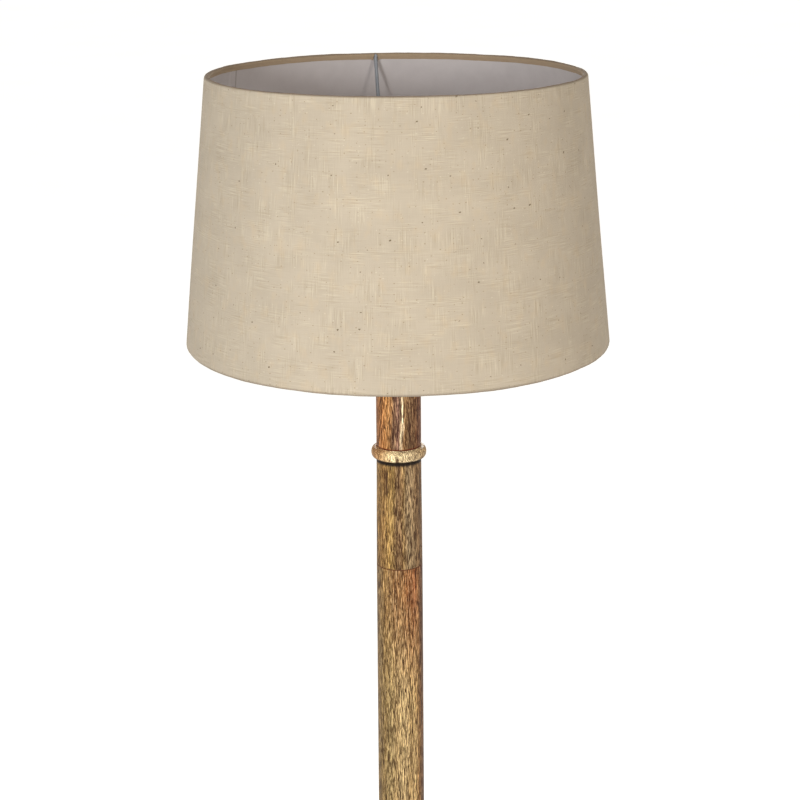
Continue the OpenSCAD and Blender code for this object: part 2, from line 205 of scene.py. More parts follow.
def hand_turned(depth=0.06 * MM, seed=0.0, top=math.inf):
    """Slow unevenness of a surface turned and sanded by hand, below the height top and outside the bores."""
    length = 35 * MM

    def change(angle, radius, height):
        wave = np.sin(height / length * 2.1 + 1.7 * np.sin(height / length + seed) + seed)
        round_wave = np.sin(2 * angle + height / length * 0.8 + seed)
        outer = (radius > COUPLER_R + 0.1 * MM) & (height < top)
        return radius + outer * depth * (0.6 * wave + 0.4 * round_wave), height

    return change


def rod(path, radius, sides):
    """Vertices and faces of a round rod along a path."""
    path = [Vector(p) for p in path]
    verts = []
    side = None
    for i, p in enumerate(path):
        ahead = (path[min(i + 1, len(path) - 1)] - path[max(i - 1, 0)]).normalized()
        if side is None:
            side = ahead.orthogonal().normalized()
        side = (side - ahead * side.dot(ahead)).normalized()
        across = ahead.cross(side)
        for k in range(sides):
            a = math.tau * k / sides
            verts.append(p + radius * (math.cos(a) * side + math.sin(a) * across))
    return verts, grid_faces(len(path), sides, False) + end_faces(len(path), sides)


# ---- Shader building ----


def linear(value):
    """A linear level from a 0-255 display value."""
    level = value / 255
    return level / 12.92 if value <= 10 else ((level + 0.055) / 1.055) ** 2.4


def srgb(r, g, b):
    """A linear colour from 0-255 display values."""
    return linear(r), linear(g), linear(b), 1.0


class Shader:
    """One material's node tree, made one node to a call."""

    def __init__(self, name):
        self.material = bpy.data.materials.new(name)
        self.material.use_nodes = True
        self.tree = self.material.node_tree
        self.tree.nodes.clear()

    def add(self, kind, *values, out=0, **more):
        """Adds a node and returns one of its outputs.

        A keyword that starts with a capital is an input, and one with a small letter is a setting.
        """
        node = self.tree.nodes.new("ShaderNode" + kind)
        for key, value in more.items():
            if key[0].islower():
                setattr(node, key, value)
        for key, value in more.items():
            if key[0].isupper():
                self.feed(node.inputs[key.replace("_", " ")], value)
        for socket, value in zip(node.inputs, values):
            if value is not None:
                self.feed(socket, value)
        return node.outputs[out]

    def feed(self, socket, value):
        if isinstance(value, bpy.types.NodeSocket):
            self.tree.links.new(value, socket)
        else:
            socket.default_value = value

    def math(self, operation, *values, clamp=False):
        return self.add("Math", *values, operation=operation, use_clamp=clamp)

    def mix(self, factor, a, b, blend="MIX", clamp=False):
        node = self.tree.nodes.new("ShaderNodeMix")
        node.data_type = "RGBA"
        node.blend_type = blend
        node.clamp_result = clamp
        # A Mix node has its colour sockets after those for floats and vectors.
        for index, value in ((0, factor), (6, a), (7, b)):
            self.feed(node.inputs[index], value)
        return node.outputs[2]

    def ramp(self, factor, stops):
        """A colour ramp. Each stop is (position, grey level or colour)."""
        node = self.tree.nodes.new("ShaderNodeValToRGB")
        elements = node.color_ramp.elements
        while len(elements) < len(stops):
            elements.new(1.0)
        for element, (position, value) in zip(elements, stops):
            element.position = position
            element.color = value if hasattr(value, "__len__") else (value, value, value, 1.0)
        self.feed(node.inputs[0], factor)
        return node.outputs[0]

    def noise(self, vector, scale, detail=2.0, roughness=0.5, distortion=0.0):
        return self.add(
            "TexNoise", Vector=vector, Scale=scale, Detail=detail, Roughness=roughness, Distortion=distortion
        )

    def stretched(self, vector, x, y, z):
        return self.add("Mapping", Vector=vector, Scale=(x, y, z))

    def place(self):
        """Object coordinates."""
        return self.add("TexCoord", out=3)

    def surface(self, **inputs):
        shader = self.add("BsdfPrincipled", **inputs)
        output = self.tree.nodes.new("ShaderNodeOutputMaterial")
        self.feed(output.inputs["Surface"], shader)
        return self.material


# ---- Wood ----

UMBER = srgb(72, 44, 28)
STRAW = srgb(238, 212, 172)
# Painted shadow, for the dark line under the ring.
RING_SHADOW = srgb(22, 13, 9)
GLAZE = srgb(112, 48, 26)

# The lacquer's colour on each section.
NECK_TINT = (0.65, 0.57, 0.46, 1.0)
RING_TINT = (0.92, 0.93, 0.90, 1.0)
UPPER_TINT = (0.67, 0.62, 0.50, 1.0)
LOWER_TINT = (0.77, 0.74, 0.65, 1.0)
BASE_TINT = (0.76, 0.70, 0.58, 1.0)


def wood(
    name, bands, lower_bands=None, change_at=None, along=None, seed=0.0, wander=0.05, fleck=1.0,
    tint=BASE_TINT, eye=None, dark_line=None,
):
    """Turned and lacquered mango wood.

    bands: colour stops round the piece, with 0.5 at the front.
    lower_bands: the stops that take over below, and change_at is the two heights between which they do.
    along: the frame of a piece whose grain isn't upright.
    wander: how far the bands drift, in turns. fleck: how strong the fine figure is, from 0 to 1.
    eye: a dark mark in the grain, as its turn, its height, and half its length and width.
    dark_line: a dark line round the piece, as its height, how far it fades and its colour. It draws dark
    joints, and painted shadow under the ring.
    """
    s = Shader(name)
    place = s.place()
    if along is not None:
        origin, lean = along.translation, along.to_euler()
        place = s.add("Mapping", Vector=place, vector_type="TEXTURE", Location=origin, Rotation=lean)
    x, y, z = (s.add("SeparateXYZ", place, out=i) for i in range(3))
    grain = s.add("Mapping", Vector=place, Location=(0.0, 0.0, seed))

    # Bands of colour run along the grain, wander slowly and have frayed edges.
    turn = s.math("DIVIDE", s.math("ARCTAN2", x, s.math("MULTIPLY", y, -1.0)), math.tau)
    slow = s.noise(s.stretched(grain, 14, 14, 5), 1.0, 2.0)
    ragged = s.noise(s.stretched(grain, 260, 260, 22), 1.0, 3.0, 0.65)
    shift = s.math("MULTIPLY", s.math("SUBTRACT", slow, 0.5), wander * 2)
    fray = s.math("MULTIPLY", s.math("SUBTRACT", ragged, 0.5), 0.05)
    turn = s.math("ADD", turn, 0.5)
    shifted = s.math("ADD", turn, s.math("ADD", shift, fray))
    colour = s.ramp(shifted, bands)
    if lower_bands:
        level = s.math("ADD", z, s.math("MULTIPLY", fray, 0.9))
        share = s.add("MapRange", level, change_at[1], change_at[0], 0.0, 1.0)
        colour = s.mix(share, colour, s.ramp(shifted, lower_bands))

    # Streaks some millimetres wide.
    wide = s.noise(s.stretched(grain, 460, 460, 20), 1.0, 3.0, 0.6, 0.5)
    streaks = s.ramp(wide, [(0.36, 0.66), (0.46, 0.93), (0.55, 1.05), (0.64, 1.30)])
    colour = s.mix(1.0, colour, streaks, "MULTIPLY")

    # Interlocked grain gives a broken, flecked figure, pale and dark.
    fine = s.noise(s.stretched(grain, 1500, 1500, 84), 1.0, 2.0, 0.62, 0.9)
    flecks_tone = s.ramp(fine, [(0.39, 0.34), (0.46, 0.74), (0.53, 1.18), (0.60, 2.60)])
    colour = s.mix(fleck, colour, s.mix(1.0, colour, flecks_tone, "MULTIPLY"))
    colour = s.mix(s.ramp(fine, [(0.40, 0.92 * fleck), (0.50, 0.0)]), colour, UMBER)
    colour = s.mix(s.ramp(fine, [(0.53, 0.0), (0.62, 0.40 * fleck)]), colour, STRAW)
    coarse = s.noise(s.stretched(grain, 700, 700, 34), 1.0, 2.0, 0.6, 1.0)
    flame = s.ramp(coarse, [(0.38, 0.76), (0.50, 1.0), (0.62, 1.26)])
    colour = s.mix(fleck, colour, s.mix(1.0, colour, flame, "MULTIPLY"))

    # Open pores are short dark dashes along the grain.
    dashes = s.noise(s.stretched(grain, 1800, 1800, 220), 1.0, 1.0, 0.4)
    pores = s.ramp(dashes, [(0.62, 0.0), (0.70, 1.0)])
    colour = s.mix(s.math("MULTIPLY", pores, 0.6), colour, UMBER)

    if eye:
        eye_turn, eye_z, half_length, half_width = eye
        across = s.math("DIVIDE", s.math("SUBTRACT", s.math("ADD", turn, fray), eye_turn), half_width)
        above = s.math("DIVIDE", s.math("SUBTRACT", z, eye_z), half_length)
        reach = s.math("ADD", s.math("MULTIPLY", across, across), s.math("MULTIPLY", above, above))
        colour = s.mix(s.ramp(reach, [(0.40, 0.88), (0.95, 0.0)]), colour, UMBER)

    if dark_line:
        dark_line_z, fade, dark = dark_line
        gap = s.math("ABSOLUTE", s.math("SUBTRACT", z, dark_line_z))
        line = s.add("MapRange", gap, fade * 0.5, fade, 0.96, 0.0)
        colour = s.mix(line, colour, dark)
    colour = s.mix(1.0, colour, tint, "MULTIPLY", clamp=True)

    height = s.math("SUBTRACT", s.math("MULTIPLY", fine, 0.4), s.math("MULTIPLY", pores, 0.6))
    bump = s.add("Bump", Strength=0.4, Distance=0.15 * MM, Height=height)
    rough = s.ramp(coarse, [(0.3, 0.46), (0.7, 0.62)])
    return s.surface(Base_Color=colour, Roughness=rough, Specular_IOR_Level=0.12, Normal=bump)


def bands(*stops):
    """Colour stops for wood from display colours: each is (turn, red, green, blue)."""
    return [(turn, srgb(r, g, b)) for turn, r, g, b in stops]


NECK_BANDS = bands(
    (0.0, 120, 84, 52), (0.16, 150, 102, 62), (0.30, 146, 92, 52), (0.37, 162, 108, 60),
    (0.42, 178, 130, 80), (0.444, 150, 108, 68), (0.456, 88, 60, 46), (0.475, 102, 72, 60),
    # The two near-white stops at 0.516 and 0.523 are a painted highlight, a thin glint down the front of the
    # neck.
    (0.498, 116, 86, 84), (0.511, 118, 90, 76), (0.516, 255, 236, 208), (0.523, 255, 236, 208),
    (0.530, 140, 108, 74), (0.55, 120, 90, 60), (0.585, 84, 58, 42), (0.62, 106, 72, 48),
    (0.66, 100, 56, 40), (0.80, 128, 90, 58), (1.0, 120, 84, 52),
)
RING_BANDS = bands(
    (0.0, 150, 116, 76), (0.33, 148, 106, 68), (0.38, 168, 126, 82), (0.425, 202, 166, 120),
    (0.464, 212, 186, 146), (0.49, 184, 160, 122), (0.51, 178, 156, 120), (0.536, 184, 162, 126),
    (0.575, 182, 158, 122), (0.66, 166, 138, 102), (1.0, 150, 116, 76),
)
UPPER_BANDS = bands(
    (0.0, 130, 100, 66), (0.2, 140, 108, 66), (0.33, 144, 110, 64), (0.38, 154, 118, 72),
    (0.42, 164, 130, 78), (0.45, 156, 126, 76), (0.475, 112, 84, 54), (0.505, 116, 88, 64),
    (0.53, 140, 112, 74), (0.56, 136, 116, 94), (0.60, 146, 124, 100), (0.64, 132, 104, 78),
    (0.72, 116, 86, 60), (1.0, 130, 100, 66),
)
CROWN_BANDS = bands(
    (0.0, 136, 102, 66), (0.2, 132, 102, 66), (0.33, 124, 98, 64), (0.38, 146, 112, 66),
    (0.425, 144, 108, 66), (0.455, 118, 80, 44), (0.48, 130, 90, 54), (0.51, 150, 108, 68),
    (0.545, 138, 86, 46), (0.58, 134, 80, 42), (0.61, 150, 88, 50), (0.645, 156, 104, 62),
    (0.672, 96, 54, 30), (0.74, 78, 44, 26), (0.80, 130, 98, 64), (1.0, 136, 102, 66),
)
LOWER_BANDS = bands(
    (0.0, 158, 128, 84), (0.2, 150, 120, 76), (0.33, 122, 98, 60), (0.38, 144, 118, 74),
    (0.425, 166, 142, 98), (0.47, 164, 136, 94), (0.51, 182, 156, 114), (0.54, 186, 158, 116),
    (0.575, 168, 138, 94), (0.61, 190, 158, 112), (0.65, 154, 114, 66), (0.675, 112, 72, 40),
    (0.74, 84, 50, 30), (0.80, 146, 114, 72), (1.0, 158, 128, 84),
)


# ---- Cloth ----


WEAVE_PITCH = 0.75 * MM


def linen_material():
    """Natural linen: fine threads both ways, slubs, dark flecks of husk and pale knots."""
    s = Shader("linen")
    place = s.place()
    # The sheet's own axes are round the shade, from opposite the seam, and up it.
    turned_place = s.add("Mapping", Vector=place, Rotation=(0.0, 0.0, math.pi - SEAM_ANGLE))
    x, y, z = (s.add("SeparateXYZ", turned_place, out=i) for i in range(3))
    around = s.math("MULTIPLY", s.math("ARCTAN2", y, x), (TOP_WIRE[0] + BOTTOM_WIRE[0]) / 2)
    cloth = s.add("CombineXYZ", around, z, 0.0)

    # Every thread varies a little. In patches, groups of thicker threads show as pale and dark lines.
    warp = s.noise(s.stretched(cloth, 1300, 40, 1), 1.0, 1.0, 0.5)
    weft = s.noise(s.stretched(cloth, 40, 1300, 1), 1.0, 1.0, 0.5)
    threads = s.math("MULTIPLY", s.math("ADD", warp, weft), 0.5)
    tone = s.ramp(threads, [(0.30, 0.96), (0.5, 1.0), (0.70, 1.035)])
    colour = s.mix(1.0, srgb(168, 155, 137), tone, "MULTIPLY")
    warp_slub = thread_groups(s, cloth, (1250, 40), (62, 28), 0.0)
    weft_slub = thread_groups(s, cloth, (40, 1250), (28, 62), 2.7)
    pale = s.math("MAXIMUM", warp_slub[0], weft_slub[0])
    dark = s.math("MAXIMUM", warp_slub[1], weft_slub[1])
    colour = s.mix(s.math("MULTIPLY", pale, 0.27), colour, srgb(204, 190, 164))
    colour = s.mix(s.math("MULTIPLY", dark, 0.30), colour, srgb(142, 126, 100))

    # Broad unevenness of the undyed yarn.
    cloud = s.noise(s.stretched(cloth, 24, 30, 1), 1.0, 3.0, 0.55)
    colour = s.mix(1.0, colour, s.ramp(cloud, [(0.35, 0.965), (0.65, 1.035)]), "MULTIPLY")
    warm = s.noise(s.stretched(cloth, 90, 60, 1), 1.0, 2.0, 0.5)
    colour = s.mix(s.ramp(warm, [(0.52, 0.0), (0.72, 0.22)]), colour, srgb(182, 158, 126))

    # Dark husk, small brown specks and pale knots.
    colour = s.mix(flecks(s, cloth, 46, 0.45, 0.028, 0.0, 0.85), colour, srgb(84, 68, 44))
    colour = s.mix(flecks(s, cloth, 190, 0.34, 0.075, 7.3, 0.7), colour, srgb(122, 104, 74))
    colour = s.mix(flecks(s, cloth, 170, 0.25, 0.080, 3.1, 0.3), colour, srgb(206, 194, 170))

    # The inner side of the top hem is painted darker and warmer: painted shade inside the rim.
    radius = s.math("POWER", s.math("ADD", s.math("MULTIPLY", x, x), s.math("MULTIPLY", y, y)), 0.5)
    inner = s.math("LESS_THAN", radius, TOP_WIRE[0] + 1.5 * MM)
    hem_inner_shade = s.add("MapRange", z, SHADE_TOP - 12 * MM, SHADE_TOP - 9 * MM, 0.0, 0.85)
    colour = s.mix(s.math("MULTIPLY", hem_inner_shade, inner), colour, srgb(151, 129, 104))
    # Both rims are painted darker along their edge: painted shade on the rolled edges.
    top_rim_shade = s.add("MapRange", z, SHADE_TOP - 1.9 * MM, SHADE_TOP - 0.5 * MM, 0.0, 0.62)
    bottom_rim_shade = s.add("MapRange", z, SHADE_BOTTOM + 3.6 * MM, SHADE_BOTTOM + 1.2 * MM, 0.0, 0.55)
    colour = s.mix(s.math("MAXIMUM", top_rim_shade, bottom_rim_shade), colour, srgb(92, 78, 64))

    weave = s.math("MULTIPLY", wave(s, around), wave(s, z))
    raised = s.math("MULTIPLY", s.math("SUBTRACT", pale, dark), 0.8)
    height = s.math("ADD", s.math("MULTIPLY", weave, 0.5), s.math("ADD", raised, tone))
    bump = s.add("Bump", Strength=0.5, Distance=0.12 * MM, Height=height)
    return s.surface(
        Base_Color=colour, Roughness=0.95, Specular_IOR_Level=0.08, Normal=bump,
        Sheen_Weight=0.06, Sheen_Roughness=0.5,
    )


def thread_groups(s, cloth, lines, patches, seed):
    """Pale and dark lines, each as a mask, that run one way and keep to patches of the cloth."""
    moved = s.add("Mapping", Vector=cloth, Location=(seed, seed, 0.0))
    line = s.noise(s.stretched(moved, lines[0], lines[1], 1), 1.0, 1.0, 0.5)
    patch = s.noise(s.stretched(moved, patches[0], patches[1], 1), 1.0, 2.0, 0.5)
    patch = s.ramp(patch, [(0.46, 0.06), (0.60, 1.0)])
    pale = s.ramp(line, [(0.54, 0.0), (0.64, 1.0)])
    dark = s.ramp(line, [(0.36, 1.0), (0.46, 0.0)])
    return s.math("MULTIPLY", pale, patch), s.math("MULTIPLY", dark, patch)


def wave(s, value):
    return s.math("SINE", s.math("MULTIPLY", value, math.tau / WEAVE_PITCH))


def flecks(s, cloth, per_metre, share, size, seed, strength):
    """A mask of small scattered spots. Each cell of a grid holds a spot with the chance share."""
    scale = (per_metre * 0.75, per_metre, 1.0)
    cells = s.add("Mapping", Vector=cloth, Location=(seed, seed * 0.7, seed), Scale=scale)
    bent = s.noise(s.stretched(cloth, 400, 400, 1), 1.0, 1.0)
    cells = s.add("VectorMath", cells, s.math("MULTIPLY", bent, 0.10), operation="ADD")
    distance = s.add("TexVoronoi", Vector=cells, Scale=1.0, voronoi_dimensions="2D", Randomness=1.0)
    chosen = s.add("TexVoronoi", Vector=cells, Scale=1.0, voronoi_dimensions="2D", Randomness=1.0, out=1)
    lot = s.add("SeparateColor", chosen)
    spread = s.add("SeparateColor", chosen, out=1)
    reach = s.math("MULTIPLY", s.math("ADD", s.math("MULTIPLY", spread, 1.1), 0.5), size)
    spot = s.math("SUBTRACT", 1.0, s.math("DIVIDE", distance, reach), clamp=True)
    spot = s.ramp(spot, [(0.0, 0.0), (0.45, strength)])
    return s.math("MULTIPLY", spot, s.math("LESS_THAN", lot, share))


def liner_material():
    """Matt white lampshade film, a little grey, with a soft fibrous mottle."""
    s = Shader("white_liner")
    place = s.place()
    mottle = s.noise(place, 60, 4.0, 0.6)
    grain = s.noise(s.stretched(place, 900, 900, 500), 1.0, 2.0)
    colour = s.ramp(mottle, [(0.3, srgb(181, 173, 171)), (0.7, srgb(187, 179, 177))])
    # A thin dark line along the edge of the lap: painted shadow of its step.
    from_seam = s.add("Mapping", Vector=place, Rotation=(0.0, 0.0, -SEAM_ANGLE))
    x, y = (s.add("SeparateXYZ", from_seam, out=i) for i in range(2))
    away = s.math("MULTIPLY", s.math("ABSOLUTE", s.math("ARCTAN2", y, x)), TOP_WIRE[0])
    colour = s.mix(s.add("MapRange", away, 0.5 * MM, 1.3 * MM, 0.6, 0.0), colour, srgb(112, 98, 84))
    bump = s.add("Bump", Strength=0.12, Distance=0.1 * MM, Height=grain)
    return s.surface(Base_Color=colour, Roughness=0.62, Specular_IOR_Level=0.3, Normal=bump)


# ---- Other materials ----


def metal(name, base, worn, roughness, metallic=1.0, grain=(600, 600, 60)):
    """A metal with fine brushing along Z and slow patches of wear."""
    s = Shader(name)
    place = s.place()
    brushing = s.noise(s.stretched(place, *grain), 1.0, 3.0, 0.6)
    patches = s.noise(place, 90, 3.0, 0.6)
    colour = s.mix(s.ramp(patches, [(0.42, 0.0), (0.62, 1.0)]), base, worn)
    both = s.math("ADD", s.math("MULTIPLY", brushing, 0.5), s.math("MULTIPLY", patches, 0.5))
    rough = s.ramp(both, [(0.35, roughness * 0.75), (0.65, roughness * 1.25)])
    normal = s.add("Bump", Strength=0.15, Distance=0.05 * MM, Height=brushing)
    return s.surface(Base_Color=colour, Metallic=metallic, Roughness=rough, Normal=normal)


def moulded(name, base, second, roughness, scale=700, bump=0.2, **more):
    """A moulded or fired surface with a fine texture and a slow change of tone."""
    s = Shader(name)
    place = s.place()
    tone = s.noise(place, 45, 3.0, 0.6)
    texture = s.noise(place, scale, 3.0, 0.6)
    colour = s.mix(s.ramp(tone, [(0.35, 0.0), (0.65, 1.0)]), base, second)
    rough = s.ramp(texture, [(0.3, roughness * 0.88), (0.7, roughness * 1.12)])
    normal = s.add("Bump", Strength=bump, Distance=0.05 * MM, Height=texture)
    return s.surface(Base_Color=colour, Roughness=rough, Normal=normal, **more)


MANGO_NECK = wood(
    "mango_neck", NECK_BANDS, seed=0.3, wander=0.02, tint=NECK_TINT,
    dark_line=(RING_TOP, 2.2 * MM, GLAZE),
)
MANGO_RING = wood(
    "mango_ring", RING_BANDS, seed=1.7, wander=0.02, fleck=0.8, tint=RING_TINT,
    eye=(0.49, RING_BOTTOM + 4 * MM, 4 * MM, 0.010),
    # The ring's underside is painted dark: painted shadow under the bead.
    dark_line=(RING_BOTTOM, 3.2 * MM, RING_SHADOW),
)
MANGO_UPPER = wood(
    "mango_upper", UPPER_BANDS, seed=2.9, tint=UPPER_TINT,
    eye=(0.405, RING_BOTTOM - 24 * MM, 20 * MM, 0.020),
    # Just under the ring the column is painted dark: painted shadow of the bead.
    dark_line=(RING_BOTTOM, 5.2 * MM, RING_SHADOW),
)
MANGO_LOWER = wood(
    "mango_lower", CROWN_BANDS, LOWER_BANDS, seed=4.1, tint=LOWER_TINT,
    change_at=(JOINT_Z - 150 * MM, JOINT_Z - 40 * MM),
    dark_line=(JOINT_Z, 1.2 * MM, srgb(104, 62, 42)),
)
MANGO_HUB = wood("mango_hub", LOWER_BANDS, seed=5.3, wander=0.25, fleck=0.6)
MANGO_FINIAL = wood("mango_finial", UPPER_BANDS, seed=6.1, wander=0.2, fleck=0.6)
LINEN = linen_material()
LINER = liner_material()
PAINTED_WIRE = metal(
    "painted_wire", srgb(150, 153, 158), srgb(140, 143, 148), 0.42, metallic=0.35, grain=(300, 300, 300)
)
BRASS = metal("brass", srgb(196, 158, 96), srgb(166, 126, 72), 0.34)
STEEL = metal("steel", srgb(196, 197, 198), srgb(172, 174, 176), 0.34)
ALUMINIUM = metal("aluminium", srgb(210, 211, 212), srgb(196, 198, 200), 0.4)
BLACK_PLASTIC = moulded("black_plastic", srgb(26, 25, 25), srgb(34, 32, 31), 0.42)
PORCELAIN = moulded("porcelain", srgb(236, 233, 225), srgb(228, 224, 214), 0.55)
RUBBER = moulded("rubber", srgb(30, 30, 30), srgb(40, 39, 38), 0.8, scale=1600, bump=0.4)
WHITE_PLASTIC = moulded("white_plastic", srgb(238, 237, 233), srgb(232, 231, 227), 0.38)
OPAL = moulded(
    "opal_plastic", srgb(244, 243, 238), srgb(240, 238, 232), 0.45,
    Subsurface_Weight=0.25, Subsurface_Scale=4 * MM,
)
BOARD = moulded("circuit_board", srgb(28, 92, 52), srgb(34, 104, 60), 0.35, scale=300)
PHOSPHOR = moulded("phosphor", srgb(240, 210, 90), srgb(232, 198, 78), 0.5)


# ---- Shade ----


def wall_r(z):
    """Radius of the linen's outer face at a height."""
    slope = (TOP_WIRE[0] - BOTTOM_WIRE[0]) / (TOP_WIRE[1] - BOTTOM_WIRE[1])
    return BOTTOM_WIRE[0] + FOLD_R / math.cos(math.atan(slope)) + (z - BOTTOM_WIRE[1]) * slope


WALL_TILT = math.degrees(math.atan2(BOTTOM_WIRE[0] - TOP_WIRE[0], TOP_WIRE[1] - BOTTOM_WIRE[1]))
# A hem takes up its tail and half a turn round the wire. The cloth is gathered over twice that.
HEM = HEM_TAIL + math.pi * FOLD_R
ROLL = 2 * HEM


def hem_path():
    """The middle of the linen's thickness, from the top hem's tail down the wall to the bottom hem's tail."""
    mid = FOLD_R - LINEN_T / 2
    top_tail = [TOP_WIRE[0] - mid + 2.2 * MM, TOP_WIRE[1] - HEM_TAIL]
    bottom_tail = [BOTTOM_WIRE[0] - mid + 1.6 * MM, BOTTOM_WIRE[1] + HEM_TAIL]
    roll_top = arc(TOP_WIRE, mid, 196, WALL_TILT, 40)
    roll_bottom = arc(BOTTOM_WIRE, mid, WALL_TILT, -190, 40)
    path = [np.array(top_tail)] + between(top_tail, roll_top[0], 6) + roll_top
    path += between(roll_top[-1], roll_bottom[0], 60) + roll_bottom
    path += between(roll_bottom[-1], bottom_tail, 6) + [np.array(bottom_tail)]
    return np.array(path)


def distance_from_arm(angle):
    """Distance along the top rim from the nearest arm."""
    gap = np.full_like(angle, math.tau)
    for arm in ARM_ANGLES:
        gap = np.minimum(gap, np.abs((angle - arm + math.pi) % math.tau - math.pi))
    return gap * TOP_WIRE[0]


def ripple(angle, seed, waves):
    """A sum of sine waves round the shade, with whole numbers of waves so that it closes."""
    return sum(size * np.sin(count * angle + seed * i * 1.9) for i, (count, size) in enumerate(waves, 1))


def lap_at_seam(angle, radius, width, rise, fall):
    """1 where a sheet's two ends overlap and 0 elsewhere. rise and fall are how wide its two edges are."""
    past = ((angle - SEAM_ANGLE) % math.tau) * radius
    return np.clip(past / rise, 0, 1) * np.clip((width - past) / fall, 0, 1)


def rim_angles():
    """Angles round the shade, closer together at the arms."""
    even = np.arange(540) * math.tau / 540
    local = np.arange(-6 * MM, 6 * MM, 0.4 * MM) / TOP_WIRE[0]
    angles = np.concatenate([even] + [(arm + local) % math.tau for arm in ARM_ANGLES])
    return np.unique(angles.round(5))


def linen_piece():
    path = hem_path()
    steps = np.linalg.norm(np.diff(path, axis=0), axis=1)
    along = np.concatenate([[0], np.cumsum(steps)])
    length = along[-1]
    # Stations are closer together along the rolls than on the wall.
    wall = np.linspace(ROLL * 1.3, length - ROLL * 1.3, 20)
    stations = np.concatenate([np.linspace(0, ROLL, 27), wall, length - np.linspace(ROLL, 0, 27)])
    angles = rim_angles()

    # The hem is slit to let each arm through: an arch over the wire, with the cut ends hanging lower.
    slit_r, slit_length = WIRE_R + 0.45 * MM, HEM_TAIL + 0.36 * math.pi * FOLD_R
    gap = distance_from_arm(angles)
    opening = np.sqrt(np.clip(1 - (gap / slit_r) ** 2, 0, 1)) * slit_length
    ends_hang = np.clip(1 - np.abs(gap - 3.6 * MM) / (1.5 * MM), 0, 1) * 1.3 * MM
    station = stations[None, :] / length * (length - opening[:, None]) + opening[:, None]
    radius = np.interp(station, along, path[:, 0])
    height = np.interp(station, along, path[:, 1])
    height = height - ends_hang[:, None] * np.clip(1 - station / HEM_TAIL, 0, 1)
    tangent_r = np.gradient(radius, axis=1)
    tangent_z = np.gradient(height, axis=1)
    norm = np.hypot(tangent_r, tangent_z)
    normal = np.stack([-tangent_z / norm, tangent_r / norm], axis=-1)
    angle = np.broadcast_to(angles[:, None], radius.shape)

    # The rolls are gathered a little, and the wall bows by a fraction of a millimetre.
    edge = np.clip(1 - np.minimum(station, length - station) / ROLL, 0, 1)
    swell = edge * ripple(angle, 0.7, [(31, 0.09 * MM), (53, 0.07 * MM), (97, 0.05 * MM), (171, 0.04 * MM)])
    bow = ripple(angle + 2.0 * height, 1.3, [(3, 0.25 * MM), (7, 0.16 * MM), (11, 0.10 * MM)])
    bow = bow * np.sin(np.clip((height - SHADE_BOTTOM) / (SHADE_TOP - SHADE_BOTTOM), 0, 1) * math.pi)
    dip = ripple(angle, 2.1, [(5, 0.18 * MM), (9, 0.14 * MM), (17, 0.08 * MM)])
    # The cloth's two ends overlap at the seam.
    lap = lap_at_seam(angle, BOTTOM_WIRE[0], 11 * MM, 0.5 * MM, 2.5 * MM) * LINEN_T * 0.8

    # The outer face, and then the inner face on the way back.
    sheets = []
    for side in (1, -1):
        away = side * LINEN_T / 2 + swell
        outward = lap if side == 1 else 0.0
        r = radius - normal[..., 0] * away + bow + outward
        z = height - normal[..., 1] * away + dip
        sheets.append((r[:, ::side], z[:, ::side]))
    r, z = (np.concatenate(rows, axis=1) for rows in zip(*sheets))
    turn = np.broadcast_to(angles[:, None], r.shape)
    verts = np.stack([r * np.cos(turn), r * np.sin(turn), z], axis=-1).reshape(-1, 3)
    faces = grid_faces(len(angles), r.shape[1], True)
    return new_piece("linen", verts, faces, "shade", LINEN, ["linen_cover"])


linen = linen_piece()


def liner_piece():
    """The film inside the linen, from just under one hem to just over the other, with a lap at the seam."""
    replaced, slot = ["shade_liner"], "white_liner"
    gap = FOLD_R + 0.2 * MM
    top, bottom = TOP_WIRE[1] - gap, BOTTOM_WIRE[1] + gap
    outer = [np.array([wall_r(z) - LINER_INSET, z]) for z in np.linspace(bottom, top, 24)]
    inner = [p - [LINER_T, 0] for p in outer[::-1]]

    def change(angle, radius, height):
        inside = radius < wall_r(height) - LINER_INSET - LINER_T / 2
        lap = lap_at_seam(angle, TOP_WIRE[0], 13 * MM, 0.6 * MM, 0.8 * MM)
        return radius - inside * lap * 0.5 * MM, height

    turned("liner", outer + inner, "shade", LINER, replaced, segments=720, change=change)


liner_piece()


def arm_piece(number, angle):
    """A wire arm: from the rim wire steeply down to its bend, and then in to the fitter ring."""
    rim = np.array([TOP_WIRE[0] + 0.4 * MM, TOP_WIRE[1]])
    bend = 9 * MM
    down = (ARM_KNEE - rim) / np.linalg.norm(ARM_KNEE - rim)
    along = (ARM_END - ARM_KNEE) / np.linalg.norm(ARM_END - ARM_KNEE)
    before, after = ARM_KNEE - down * bend, ARM_KNEE + along * bend
    curve = [
        (1 - t) ** 2 * before + 2 * t * (1 - t) * ARM_KNEE + t * t * after for t in np.linspace(0, 1, 13)
    ]
    line = [rim] + between(rim, before, 6) + curve + between(after, ARM_END, 6) + [ARM_END]
    out = Vector((math.cos(angle), math.sin(angle), 0))
    path = [out * r + Vector((0, 0, z)) for r, z in line]
    verts, faces = rod(path, WIRE_R, 28)
    # A small bead of weld holds the arm on the fitter ring.
    start = len(verts)
    bead_verts, bead_faces = weld_bead(path[-1] - Vector((0, 0, WIRE_R * 0.8)) + out * 3 * MM, out)
    verts += bead_verts
    faces += [[start + i for i in f] for f in bead_faces]
    name = f"arm_{number}"
    new_piece(name, verts, faces, "shade", PAINTED_WIRE, [f"shade_arm_{number}"])


